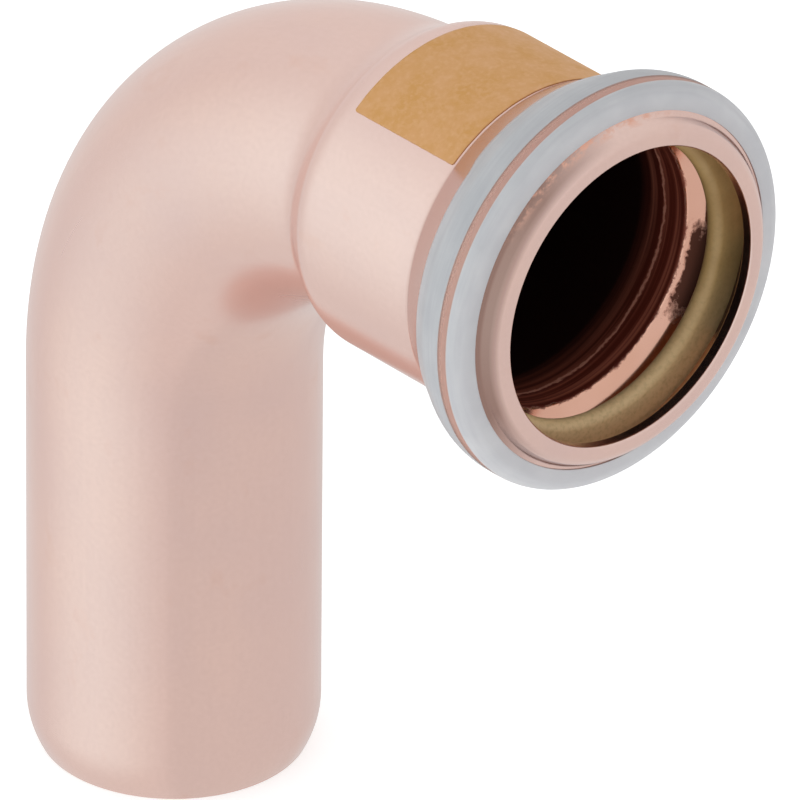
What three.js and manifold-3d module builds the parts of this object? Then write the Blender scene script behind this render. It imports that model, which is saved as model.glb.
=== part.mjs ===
// A 90 degree street elbow for press-fit copper pipe: one end is a plain tube end that
// pushes into another fitting, the other end is a press socket that takes a tube.
// Four pieces: the copper body, the sealing ring seated in the socket's bead, the thin
// indicator ring shrunk over the bead, and the coloured marking on the socket's top.
// Millimetres. The bend lies in the XZ plane: the plain end points down, the socket
// points along +X. The origin is at the middle of the footprint, on the plain end's face.

import * as THREE from 'three';
import { mergeVertices } from 'three/addons/utils/BufferGeometryUtils.js';
import Module from 'manifold-3d';

// ---- driving dimensions -------------------------------------------------------------
const TUBE_DIAMETER = 22;         // outside of the plain end and of the tube it takes
const TUBE_WALL = 1.2;
const BEND_RADIUS = 26.7;         // centreline, close to 1.2 diameters
const PLAIN_END_LENGTH = 32.1;    // straight stretch below the bend
const LEAD_IN_LENGTH = 3.5;       // the plain end's outside narrows over its last stretch
const LEAD_IN_DEPTH = 0.9;        // radial, at the end's face
const LEAD_IN_STEPS = 5;

const STOP_SETBACK = 2.1;         // from the bend's end to the insertion stop
const INSERTION_DEPTH = 21.1;     // from the stop to the socket's end face
const SOCKET_CLEARANCE = 0.15;    // radial, around the inserted tube
const SOCKET_WALL = 1.6;
const SHOULDER_SLOPE = 0.62;      // rise per unit length where the tube widens
const SHOULDER_ROUND = 2.2;
const SHOULDER_SINK = 0.4;        // the shoulder's foot starts this far inside the tube
const STOP_ROUND = 0.6;

const BEAD_HEIGHT = 2.75;         // crown above the socket's outside
const BEAD_FLANK_SLOPE = 0.72;    // rear flank, rise per unit length
const BEAD_FOOT_ROUND = 1.6;
const BEAD_CROWN_ROUND = 1.2;
const BEAD_CROWN_LENGTH = 2.55;   // between the two crown corners before rounding
const BEAD_WALL = 1.2;

const LIP_REACH = 1.75;           // lip's end face in front of the bead's front face
const LIP_THICKNESS = 1.1;
const LIP_CLEARANCE = 0.2;        // radial, between the lip and the inserted tube
const LIP_ROUND = 0.5;
const LIP_CUT = 0.05;             // taken off the rounded inner edge by the opening
const LIP_HEIGHT = 1.75;          // radial height of the lip's end, inside to outside
const LIP_FOOT_HEIGHT = 2.15;     // the same where the lip meets the bead's front face

const SEAL_GAP = 0.33;            // between the ring and the walls of its groove
const SEAL_BITE = 0.1;            // the ring's nose is this much inside the tube's size
const SEAL_NOSE_WIDTH = 1.9;
const SEAL_NOSE_SETBACK = 0.25;   // nose's middle, behind the groove's front corner
const SEAL_NOSE_ROUND = 0.9;
const SEAL_EDGE_ROUND = 0.3;
const SEAL_FRONT_DEPTH = 1.05;    // from the ring's crown down its front flank
const SEAL_REAR_DEPTH = 0.8;      // from the ring's crown down its rear flank

const FILM_GAP = 0.3;             // between the indicator ring and the copper
const FILM_THICKNESS = 0.3;
const FILM_FOOT_OFFSET = 0.85;    // bare flank between the bead's foot and the ring
const FILM_FACE_DEPTH = 1.7;      // how far the ring reaches down the front face
const FILM_LINE_DEPTH = 0.12;     // tear line around the crown
const FILM_LINE_INSET = 0.5;      // from the crown's rear corner to the tear line
const FILM_LINE_WIDTH = 0.73;

const MARK_GAP = 0.3;
const MARK_THICKNESS = 0.3;
const MARK_HALF_ANGLE = 41;       // degrees each way from the top
const MARK_REAR_OFFSET = 0.6;     // from the insertion stop's plane
const MARK_FRONT_OFFSET = 2.7;    // from the foot of the bead
const MARK_FACETS = 8;

const SIDES = 44;                 // facets around every round piece
const BEND_STEPS = 14;
const ARC_STEP = Math.PI / 9;     // largest turn per facet in a rounded profile corner
const EDGE_SHARE = 0.98;          // part of a straight edge that its rounds may take up
const MERGE_DISTANCE = 1e-4;
const END_OVERSHOOT = 2;          // how far the inner solids run past the open ends
const END_SHARE_BEYOND = 0.5;     // part of a facet by which the lead-in's cut runs out

// ---- places worked out from the sizes ------------------------------------------------
// Profile points are [distance along the socket's axis from the bend's corner, radius].
const tubeRadius = TUBE_DIAMETER / 2;
const boreRadius = tubeRadius - TUBE_WALL;
const socketBoreRadius = tubeRadius + SOCKET_CLEARANCE;
const socketRadius = socketBoreRadius + SOCKET_WALL;
const crownRadius = socketRadius + BEAD_HEIGHT;
const lipRadius = tubeRadius + LIP_CLEARANCE;

const stopAt = BEND_RADIUS + STOP_SETBACK;
const mouthAt = stopAt + INSERTION_DEPTH;
const beadFaceAt = mouthAt - LIP_REACH;
const crownRearAt = beadFaceAt - BEAD_CROWN_LENGTH;
const beadFootAt = crownRearAt - BEAD_HEIGHT / BEAD_FLANK_SLOPE;
const tubeEndAt = stopAt - STOP_SETBACK / 2;
const plainEndBelow = BEND_RADIUS + PLAIN_END_LENGTH;

// ---- profile helpers -----------------------------------------------------------------
// How much of the edge between two corners the first one's rounding may use. Two rounded
// corners share the edge equally.
function roomOnEdge(corner, neighbour) {
  const length = Math.hypot(corner[0] - neighbour[0], corner[1] - neighbour[1]);
  return (length * EDGE_SHARE) / (neighbour[2] ? 2 : 1);
}

// Rounds the corners of a chain of [along, radius, round] points with arcs. A round that
// its two edges have no room for is made smaller.
function roundedChain(corners) {
  const points = [];
  corners.forEach(([along, radius, round], index) => {
    const corner = new THREE.Vector2(along, radius);
    const before = corners[index - 1];
    const after = corners[index + 1];
    if (!round || !before || !after) {
      points.push(corner);
      return;
    }
    const back = new THREE.Vector2(before[0], before[1]).sub(corner).normalize();
    const ahead = new THREE.Vector2(after[0], after[1]).sub(corner).normalize();
    const halfAngle = Math.acos(THREE.MathUtils.clamp(back.dot(ahead), -1, 1)) / 2;
    const room = Math.min(
      roomOnEdge(corners[index], before),
      roomOnEdge(corners[index], after),
    );
    const tangentLength = Math.min(round / Math.tan(halfAngle), room);
    const centre = back.clone().add(ahead).normalize();
    centre.multiplyScalar(tangentLength / Math.cos(halfAngle)).add(corner);
    const from = back.multiplyScalar(tangentLength).add(corner).sub(centre);
    const to = ahead.multiplyScalar(tangentLength).add(corner).sub(centre);
    const turn = Math.atan2(from.cross(to), from.dot(to));
    const steps = Math.max(1, Math.ceil(Math.abs(turn) / ARC_STEP));
    for (let step = 0; step <= steps; step += 1) {
      const point = from.clone().rotateAround(new THREE.Vector2(), (turn * step) / steps);
      points.push(point.add(centre));
    }
  });
  return points;
}

// Moves a chain sideways by a distance (positive is to the left of its direction).
// Rounded corners keep the same centre, so their radius changes by the same distance.
function offsetChain(corners, distance) {
  const normals = corners.slice(1).map(([along, radius], index) => {
    const run = new THREE.Vector2(along - corners[index][0], radius - corners[index][1]);
    return new THREE.Vector2(-run.y, run.x).normalize();
  });
  return corners.map(([along, radius, round], index) => {
    const first = normals[Math.max(index - 1, 0)];
    const second = normals[Math.min(index, normals.length - 1)];
    const mitre = first.clone().add(second);
    mitre.multiplyScalar(distance / (1 + first.dot(second)));
    const isLeftTurn = first.cross(second) > 0;
    const grown = round && (isLeftTurn ? round - distance : round + distance);
    return [along + mitre.x, radius + mitre.y, grown];
  });
}

// The point at a given radius on the straight line through two chain points.
function pointAtRadius([alongA, radiusA], [alongB, radiusB], radius) {
  const share = (radius - radiusA) / (radiusB - radiusA);
  return [THREE.MathUtils.lerp(alongA, alongB, share), radius];
}

// A solid of revolution about the socket's axis, from points of [along, radius].
function turned(points) {
  const profile = points.map((point) => new THREE.Vector2(point.y, point.x));
  const geometry = new THREE.LatheGeometry(profile, SIDES);
  return geometry.rotateZ(-Math.PI / 2);
}

// ---- solids and booleans -------------------------------------------------------------
const wasm = await Module();
wasm.setup();

function toSolid(geometry) {
  const bare = geometry.clone();
  bare.deleteAttribute('normal');
  bare.deleteAttribute('uv');
  const merged = mergeVertices(bare, MERGE_DISTANCE);
  const triVerts = new Uint32Array(merged.index.array);
  const vertProperties = new Float32Array(merged.attributes.position.array);
  const solid = new wasm.Manifold(new wasm.Mesh({ numProp: 3, vertProperties, triVerts }));
  return solid;
}

function toGeometry(solid) {
  const mesh = solid.getMesh();
  const geometry = new THREE.BufferGeometry();
  geometry.setAttribute('position', new THREE.BufferAttribute(mesh.vertProperties, 3));
  geometry.setIndex(new THREE.BufferAttribute(mesh.triVerts, 1));
  geometry.computeVertexNormals();
  return geometry;
}

// ---- the copper body -----------------------------------------------------------------
// The tube's centreline: up the plain end, round the bend, then along +X. Its stations
// are the two straight ends and the even steps of the bend, one facet between each two.
class TubePath extends THREE.Curve {
  constructor(below, along) {
    super();
    this.stations = [new THREE.Vector3(0, 0, -below)];
    for (let step = 0; step <= BEND_STEPS; step += 1) {
      const angle = (Math.PI / 2) * (step / BEND_STEPS);
      const x = BEND_RADIUS * (1 - Math.cos(angle));
      const z = BEND_RADIUS * (Math.sin(angle) - 1);
      this.stations.push(new THREE.Vector3(x, 0, z));
    }
    this.stations.push(new THREE.Vector3(along, 0, 0));
  }

  get steps() {
    return this.stations.length - 1;
  }

  getPoint(share) {
    const place = share * this.steps;
    const index = Math.min(Math.floor(place), this.steps - 1);
    return this.stations[index].clone().lerp(this.stations[index + 1], place - index);
  }

  getPointAt(share) {
    return this.getPoint(share);
  }

  getTangentAt(share) {
    const bendShare = (share * this.steps - 1) / BEND_STEPS;
    const angle = (Math.PI / 2) * THREE.MathUtils.clamp(bendShare, 0, 1);
    return new THREE.Vector3(Math.sin(angle), 0, Math.cos(angle));
  }
}

// A round bar along the tube's path; the ends are flat.
function sweptBar(radius, below, along) {
  const path = new TubePath(below, along);
  const section = [];
  for (let side = 0; side < SIDES; side += 1) {
    const angle = (2 * Math.PI * side) / SIDES;
    section.push(new THREE.Vector2(radius * Math.cos(angle), radius * Math.sin(angle)));
  }
  const options = { steps: path.steps, extrudePath: path, bevelEnabled: false };
  return new THREE.ExtrudeGeometry(new THREE.Shape(section), options);
}

// The ring taken off the plain end's outside. Its inner wall runs from the end's face to
// the tube's outside, which it meets at a tangent, and a little way out of the tube.
function leadInCutter() {
  const faceAt = -plainEndBelow;
  const curve = [];
  for (let step = 0; step <= LEAD_IN_STEPS; step += 1) {
    const share = step / LEAD_IN_STEPS;
    const radius = tubeRadius - LEAD_IN_DEPTH * (1 - share) ** 2;
    curve.push(new THREE.Vector2(radius, faceAt + LEAD_IN_LENGTH * share));
  }
  const [last, top] = curve.slice(-2);
  const beyond = last.clone().lerp(top, 1 + END_SHARE_BEYOND);
  const outerRadius = tubeRadius + END_OVERSHOOT;
  const lowest = faceAt - END_OVERSHOOT;
  const profile = [
    new THREE.Vector2(outerRadius, lowest),
    new THREE.Vector2(outerRadius, beyond.y),
    beyond,
    ...curve.slice(0, -1).reverse(),
    new THREE.Vector2(curve[0].x, lowest),
    new THREE.Vector2(outerRadius, lowest),
  ];
  return new THREE.LatheGeometry(profile, SIDES).rotateX(Math.PI / 2);
}

// The outside of the bead, from its foot on the socket to the front face.
const beadChain = [
  [beadFootAt, socketRadius, BEAD_FOOT_ROUND],
  [crownRearAt, crownRadius, BEAD_CROWN_ROUND],
  [beadFaceAt, crownRadius, BEAD_CROWN_ROUND],
  [beadFaceAt, lipRadius + LIP_FOOT_HEIGHT, SEAL_EDGE_ROUND],
];

// The inside of the bead, from the lip's back corner round to the socket's bore.
function grooveChain() {
  const flank = offsetChain(beadChain.slice(0, 2), -BEAD_WALL);
  const grooveRadius = crownRadius - BEAD_WALL;
  return [
    [mouthAt - LIP_THICKNESS, lipRadius],
    [beadFaceAt - BEAD_WALL, grooveRadius, SEAL_EDGE_ROUND],
    [...pointAtRadius(flank[0], flank[1], grooveRadius), SEAL_EDGE_ROUND],
    [...pointAtRadius(flank[0], flank[1], socketBoreRadius), BEAD_FOOT_ROUND],
  ];
}

// The socket's outside, closed on the axis. Its rear end is sunk inside the tube's wall.
function socketOutside() {
  const footRadius = tubeRadius - SHOULDER_SINK;
  const footAt = stopAt - (socketRadius - footRadius) / SHOULDER_SLOPE;
  const edgeRadius = lipRadius - LIP_CUT;
  return turned(roundedChain([
    [footAt, 0],
    [footAt, footRadius],
    [stopAt, socketRadius, SHOULDER_ROUND],
    ...beadChain,
    [mouthAt, lipRadius + LIP_HEIGHT, LIP_ROUND],
    [mouthAt, edgeRadius, LIP_ROUND],
    [mouthAt - LIP_THICKNESS, edgeRadius],
    [mouthAt - LIP_THICKNESS, 0],
  ]));
}

// The space inside the socket: stop, bore, seal groove and the opening through the lip.
function socketInside() {
  const coneRadius = boreRadius - SHOULDER_SINK;
  return turned(roundedChain([
    [stopAt - (socketBoreRadius - coneRadius) / SHOULDER_SLOPE, 0],
    [stopAt - (socketBoreRadius - coneRadius) / SHOULDER_SLOPE, coneRadius],
    [stopAt, socketBoreRadius, STOP_ROUND],
    ...grooveChain().reverse(),
    [mouthAt + END_OVERSHOOT, lipRadius],
    [mouthAt + END_OVERSHOOT, 0],
  ]));
}

function elbowBody() {
  const bar = toSolid(sweptBar(tubeRadius, plainEndBelow, tubeEndAt));
  const tube = bar.subtract(toSolid(leadInCutter()));
  const bore = toSolid(sweptBar(boreRadius, plainEndBelow + END_OVERSHOOT, tubeEndAt));
  const outside = tube.add(toSolid(socketOutside()));
  const inside = bore.add(toSolid(socketInside()));
  return toGeometry(outside.subtract(inside));
}

// ---- sealing ring --------------------------------------------------------------------
// It fills the groove but for a gap, and its rounded nose stands into the tube's way.
function sealingRing() {
  const walls = offsetChain(grooveChain(), SEAL_GAP);
  const sealCrown = walls[1][1];
  const frontFlank = pointAtRadius(walls[0], walls[1], sealCrown - SEAL_FRONT_DEPTH);
  const rearFlank = pointAtRadius(walls[2], walls[3], sealCrown - SEAL_REAR_DEPTH);
  const noseAt = beadFaceAt - BEAD_WALL - SEAL_NOSE_SETBACK;
  const noseRadius = tubeRadius - SEAL_BITE;
  return turned(roundedChain([
    [noseAt, noseRadius],
    [noseAt - SEAL_NOSE_WIDTH / 2, noseRadius, SEAL_NOSE_ROUND],
    [...rearFlank, SEAL_EDGE_ROUND],
    [walls[2][0], sealCrown, SEAL_EDGE_ROUND],
    [walls[1][0], sealCrown, SEAL_EDGE_ROUND],
    [...frontFlank, SEAL_EDGE_ROUND],
    [noseAt + SEAL_NOSE_WIDTH / 2, noseRadius, SEAL_NOSE_ROUND],
    [noseAt, noseRadius],
  ]));
}

// ---- press indicator -----------------------------------------------------------------
// A thin ring shrunk over the bead's flank, crown and face, with a tear line all round.
function pressIndicator() {
  const [foot, crownRear, crownFront] = beadChain;
  const flankLength = Math.hypot(crownRear[0] - foot[0], crownRear[1] - foot[1]);
  const share = FILM_FOOT_OFFSET / flankLength;
  const start = [
    THREE.MathUtils.lerp(foot[0], crownRear[0], share),
    THREE.MathUtils.lerp(foot[1], crownRear[1], share),
  ];
  const covered = [start, crownRear, crownFront, [beadFaceAt, crownRadius - FILM_FACE_DEPTH]];
  const inner = offsetChain(covered, FILM_GAP);
  const outer = offsetChain(covered, FILM_GAP + FILM_THICKNESS);
  const lineRadius = outer[1][1] - FILM_LINE_DEPTH;
  const lineFrom = crownRearAt + FILM_LINE_INSET;
  const lineTo = lineFrom + FILM_LINE_WIDTH;
  return turned(roundedChain([
    inner[0],
    outer[0],
    outer[1],
    [lineFrom, outer[1][1]],
    [lineFrom, lineRadius],
    [lineTo, lineRadius],
    [lineTo, outer[1][1]],
    outer[2],
    outer[3],
    inner[3],
    inner[2],
    inner[1],
    inner[0],
  ]));
}

// ---- marking -------------------------------------------------------------------------
// A curved rectangle on the top of the socket.
function markingPatch() {
  const innerRadius = socketRadius + MARK_GAP;
  const halfAngle = THREE.MathUtils.degToRad(MARK_HALF_ANGLE);
  const rearAt = stopAt + MARK_REAR_OFFSET;
  const length = beadFootAt - MARK_FRONT_OFFSET - rearAt;
  const outline = new THREE.Shape();
  outline.absarc(0, 0, innerRadius + MARK_THICKNESS, Math.PI - halfAngle, Math.PI + halfAngle);
  outline.absarc(0, 0, innerRadius, Math.PI + halfAngle, Math.PI - halfAngle, true);
  const options = { depth: length, curveSegments: MARK_FACETS, bevelEnabled: false };
  const geometry = new THREE.ExtrudeGeometry(outline, options);
  return geometry.rotateY(Math.PI / 2).translate(rearAt, 0, 0);
}

// ---- assembly ------------------------------------------------------------------------
const satinCopper = { color: '#dfc2ba', roughness: 0.38, metalness: 0.9 };
const sealRubber = { color: '#7c6b48', roughness: 0.55, metalness: 0 };
const whiteFilm = { color: '#c4c8ca', roughness: 0.45, metalness: 0 };
const ochrePaint = { color: '#cd9c64', roughness: 0.6, metalness: 0 };

function piece(name, geometry, finish) {
  const mesh = new THREE.Mesh(geometry, new THREE.MeshStandardMaterial(finish));
  mesh.name = name;
  return mesh;
}

const elbow = new THREE.Group();
elbow.add(piece('elbow_body', elbowBody(), satinCopper));
elbow.add(piece('sealing_ring', sealingRing(), sealRubber));
elbow.add(piece('press_indicator', pressIndicator(), whiteFilm));
elbow.add(piece('marking_patch', markingPatch(), ochrePaint));
elbow.position.set((tubeRadius - mouthAt) / 2, 0, plainEndBelow);

const part = new THREE.Group();
part.add(elbow);

export default part;
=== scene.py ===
"""A copper press-fit street elbow in four pieces: the body, the sealing ring in its bead,
the film indicator shrunk over the bead and the ochre marking printed on the socket.

Every round piece is a section carried round the tube's path by Geometry Nodes. Section
points are (along, radius): the distance along the tube's centreline from the plain end,
and the distance from that centreline.
"""

import math

import bpy
from mathutils import Matrix, Vector


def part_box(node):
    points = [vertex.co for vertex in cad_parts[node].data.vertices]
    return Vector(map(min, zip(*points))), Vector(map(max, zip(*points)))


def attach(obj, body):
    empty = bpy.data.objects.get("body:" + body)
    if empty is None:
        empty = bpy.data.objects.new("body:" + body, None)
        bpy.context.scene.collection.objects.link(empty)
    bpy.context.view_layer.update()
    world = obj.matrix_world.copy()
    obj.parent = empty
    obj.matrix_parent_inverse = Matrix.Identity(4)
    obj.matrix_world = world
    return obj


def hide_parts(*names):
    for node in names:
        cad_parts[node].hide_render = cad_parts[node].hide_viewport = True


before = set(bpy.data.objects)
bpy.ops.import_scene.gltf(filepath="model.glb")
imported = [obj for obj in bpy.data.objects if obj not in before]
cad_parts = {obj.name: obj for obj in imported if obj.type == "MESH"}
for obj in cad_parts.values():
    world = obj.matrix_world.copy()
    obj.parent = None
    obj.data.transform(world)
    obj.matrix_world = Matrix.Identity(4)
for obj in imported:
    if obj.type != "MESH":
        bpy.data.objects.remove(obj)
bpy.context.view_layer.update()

MM = 0.001

# ---- sizes, in millimetres -------------------------------------------------------------
TUBE_RADIUS = 11.0
BORE_RADIUS = 9.8
BEND_RADIUS = 26.7
LEAD_IN_LENGTH = 3.5
LEAD_IN_DEPTH = 0.9
LEAD_IN_STEPS = 8
END_EDGE_ROUND = 0.08

SHOULDER_FOOT = 25.3  # from the bend's corner, like every place along the socket
SHOULDER_TOP = 28.1
SHOULDER_ROUND = 3.2
SOCKET_RADIUS = 12.87
SOCKET_BORE_RADIUS = 11.15
STOP_AT = 28.8
STOP_DEPTH = 2.1  # from the stop's edge back to the tube's bore

BEAD_FOOT = 40.0
BEAD_SLOPE = 0.56
BEAD_FOOT_ROUND = 1.0
CROWN_RADIUS = 15.78
CROWN_REAR_ROUND = 3.6
CROWN_FRONT_ROUND = 1.6
BEAD_FACE = 48.33

LIP_RADIUS = 11.62
LIP_BACK = 48.85
LIP_FOOT_RADIUS = 13.6
LIP_FOOT_ROUND = 0.5
LIP_CREASE = (49.4, 13.15)
LIP_CREST = (49.9, 12.55)
LIP_ROUND = 0.9
LIP_NOSE_ROUND = 0.3
LIP_BACK_ROUND = 0.15
LIP_INSIDE = (48.6, 12.3)  # where the lip's back turns down into the groove

GROOVE_SLOPE = 1.15
GROOVE_RADIUS = 14.43
GROOVE_FACE = 47.1
GROOVE_REAR_FOOT = 43.25
GROOVE_FRONT_FOOT = 13.3
GROOVE_FLOOR_ROUND = 0.6

OXIDE_EDGE = 43.35  # where the bore's oxide starts, behind the burnished flank
STAIN_ANGLE = 111.5  # degrees round from the top
# Painted shade: the side of the lip's foot crease that is painted dark.
DULL_ANGLE = -75.0
# Painted shade: the flank is painted darker up to here.
DULL_FLANK_END = 45.0
# Where a ring of painted highlight lies in the bore.
TURNED_RING_AT = 41.0

SEAL_NOSE = 46.5
SEAL_NOSE_ROUND = 0.75
SEAL_NOSE_RADIUS = 10.96
SEAL_REAR = (45.5, 13.45)
SEAL_FRONT_RADIUS = 12.7
SEAL_CLEARANCE = 0.04

FILM_REAR = 42.55
FILM_LINE_REAR = 46.45
FILM_LINE_FRONT = 47.45
FILM_FRONT_RADIUS = 13.95
FILM_THICKNESS = 0.06

MARK_REAR = 29.3
MARK_FRONT = 39.85
MARK_HALF_ANGLE = 41.0
MARK_CORNER_ROUND = 0.15
INK_THICKNESS = 0.03

SKIN_GAP = 0.02  # between the copper and what lies on it
FACETS = 180
FILM_FACETS = 240

# ---- places, from the frame ------------------------------------------------------------
body_low, body_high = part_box("elbow_body")
seal_low, seal_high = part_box("sealing_ring")
corner = Vector((body_low.x + TUBE_RADIUS * MM, 0.0, (seal_low.z + seal_high.z) / 2))
mouth_at = (body_high.x - corner.x) / MM
leg_length = (corner.z - body_low.z) / MM - BEND_RADIUS
along_at_corner = leg_length + BEND_RADIUS * (math.pi / 2 - 1)


# ---- nodes -----------------------------------------------------------------------------
MATHS = "ShaderNodeMath"
VECTOR_MATHS = "ShaderNodeVectorMath"
RANGE = "ShaderNodeMapRange"  # value, its low and high, and what they become (0 and 1)
BLEND = "ShaderNodeMix"
BLEND_INPUTS = (0, 6, 7)  # the share, and the colours it goes from and to
SPLIT = "ShaderNodeSeparateXYZ"


def linear(hex_colour):
    """An sRGB hex colour as the linear RGBA that shaders take."""
    channels = [int(hex_colour[i : i + 2], 16) / 255 for i in (1, 3, 5)]
    bright = [c / 12.92 if c <= 0.04045 else ((c + 0.055) / 1.055) ** 2.4 for c in channels]
    return (*bright, 1.0)


def add_node(tree, kind, links=(), **settings):
    """A node with its settings. Links holds what each input takes, by name or number or in
    the inputs' order: a value, a hex colour, an output, or a node for the output it uses."""
    made = tree.nodes.new(kind)
    for name, value in settings.items():
        setattr(made, name, value)
    if not isinstance(links, dict):
        links = dict(zip(BLEND_INPUTS if kind == BLEND else range(len(links)), links))
    for key, value in links.items():
        if isinstance(value, bpy.types.Node):
            value = next(output for output in value.outputs if output.enabled)
        if isinstance(value, bpy.types.NodeSocket):
            tree.links.new(value, made.inputs[key])
        elif isinstance(value, str) and value.startswith("#"):
            made.inputs[key].default_value = linear(value)
        else:
            made.inputs[key].default_value = value
    return made


# ---- sections --------------------------------------------------------------------------
def rounded(corners, spacing=0.9, turn_step=math.radians(7)):
    """The closed outline through (along, radius, round) corners, in even short steps."""
    outline = []
    count = len(corners)
    for index, (x, y, round_radius) in enumerate(corners):
        here = Vector((x, y))
        before = Vector(corners[index - 1][:2])
        after = Vector(corners[(index + 1) % count][:2])
        back = (before - here).normalized()
        ahead = (after - here).normalized()
        half = math.acos(max(-1.0, min(1.0, back.dot(ahead)))) / 2
        if round_radius == 0 or half > math.radians(89.5):
            outline.append(here)
            continue
        reach = round_radius / math.tan(half)
        reach = min(reach, 0.49 * (before - here).length, 0.49 * (after - here).length)
        centre = here + (back + ahead).normalized() * (reach / math.cos(half))
        start = here + back * reach - centre
        end = here + ahead * reach - centre
        turn = math.atan2(start.x * end.y - start.y * end.x, start.dot(end))
        steps = max(2, math.ceil(abs(turn) / turn_step))
        for step in range(steps + 1):
            outline.append(centre + Matrix.Rotation(turn * step / steps, 2) @ start)
    stepped = []
    for index, point in enumerate(outline):
        following = outline[(index + 1) % len(outline)]
        pieces = max(1, math.ceil((following - point).length / spacing))
        stepped += [point.lerp(following, k / pieces) for k in range(pieces)]
    return stepped


def from_corner(corners):
    """Moves places measured from the bend's corner to distances along the centreline."""
    return [(along_at_corner + x, *rest) for x, *rest in corners]


def from_corner_range(at, before, after):
    """The two ends, in metres, of a short range about a place on the socket."""
    return (along_at_corner + at + before) * MM, (along_at_corner + at + after) * MM


def section_mesh(name, points, closed=True, inside_from=None):
    """The section as a wire mesh, for the trees to read. Points past inside_from, a place
    along the socket, stand at height 1: they take the inside's material."""
    mesh = bpy.data.meshes.new(name)
    count = len(points)
    edges = [(i, (i + 1) % count) for i in range(count if closed else count - 1)]
    inside = [0.0] * count
    if inside_from is not None:
        crest = max(range(count), key=lambda i: points[i][0])
        edge = along_at_corner + inside_from
        first = next(i for i in range(crest, count) if points[i][0] <= edge)
        inside = [float(i >= first) for i in range(count)]
    places = [(p[0] * MM, p[1] * MM, z) for p, z in zip(points, inside)]
    mesh.from_pydata(places, edges, [])
    made = bpy.data.objects.new(name, mesh)
    bpy.context.scene.collection.objects.link(made)
    return made


flank_end = BEAD_FOOT + (CROWN_RADIUS - SOCKET_RADIUS) / BEAD_SLOPE
groove_rear = GROOVE_REAR_FOOT + (GROOVE_RADIUS - SOCKET_BORE_RADIUS) / GROOVE_SLOPE

bead_outside = from_corner(
    [
        (BEAD_FOOT, SOCKET_RADIUS, BEAD_FOOT_ROUND),
        (flank_end, CROWN_RADIUS, CROWN_REAR_ROUND),
        (BEAD_FACE, CROWN_RADIUS, CROWN_FRONT_ROUND),
        (BEAD_FACE + 0.1, LIP_FOOT_RADIUS, LIP_FOOT_ROUND),
    ]
)
lead_in = [
    (
        LEAD_IN_LENGTH * k / LEAD_IN_STEPS,
        TUBE_RADIUS - LEAD_IN_DEPTH * (1 - k / LEAD_IN_STEPS) ** 2,
        0,
    )
    for k in range(LEAD_IN_STEPS + 1)
]
body_section = [
    (0.0, lead_in[0][1], END_EDGE_ROUND),
    *lead_in[1:],
    *from_corner(
        [
            (SHOULDER_FOOT, TUBE_RADIUS, SHOULDER_ROUND),
            (SHOULDER_TOP, SOCKET_RADIUS, SHOULDER_ROUND),
        ]
    ),
    *bead_outside,
    *from_corner(
        [
            (*LIP_CREASE, LIP_ROUND),
            (*LIP_CREST, LIP_ROUND),
            (mouth_at - 0.04, LIP_RADIUS, LIP_NOSE_ROUND),
            (LIP_BACK, LIP_RADIUS, LIP_BACK_ROUND),
            (*LIP_INSIDE, 0.4),
            (GROOVE_FACE + 0.05, GROOVE_FRONT_FOOT, 0.3),
            (GROOVE_FACE, GROOVE_RADIUS, 0.4),
            (groove_rear, GROOVE_RADIUS, GROOVE_FLOOR_ROUND),
            (GROOVE_REAR_FOOT, SOCKET_BORE_RADIUS, 0.5),
            (STOP_AT, SOCKET_BORE_RADIUS, 0.5),
            (STOP_AT - STOP_DEPTH, BORE_RADIUS, 0.6),
        ]
    ),
    (0.0, BORE_RADIUS, END_EDGE_ROUND),
]

seal_top = GROOVE_RADIUS - SEAL_CLEARANCE
seal_rear_top = groove_rear + 0.06
seal_section = from_corner(
    [
        (SEAL_NOSE - 1.2, SEAL_NOSE_RADIUS, SEAL_NOSE_ROUND),
        (*SEAL_REAR, 0.25),
        (seal_rear_top, seal_top, 0.2),
        (GROOVE_FACE - 0.3, seal_top, 0.2),
        (GROOVE_FACE - 0.35, SEAL_FRONT_RADIUS, 0.5),
        (SEAL_NOSE + 0.35, SEAL_NOSE_RADIUS, SEAL_NOSE_ROUND),
    ]
)


# ---- trees -----------------------------------------------------------------------------
def new_tree(name, inputs):
    """A geometry tree with a Geometry in and out and the named inputs given."""
    tree = bpy.data.node_groups.new(name, "GeometryNodeTree")
    tree.interface.new_socket("Geometry", in_out="INPUT", socket_type="NodeSocketGeometry")
    for label, kind in inputs:
        tree.interface.new_socket(label, in_out="INPUT", socket_type=kind)
    tree.interface.new_socket("Geometry", in_out="OUTPUT", socket_type="NodeSocketGeometry")
    return tree, add_node(tree, "NodeGroupInput"), add_node(tree, "NodeGroupOutput")


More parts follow.
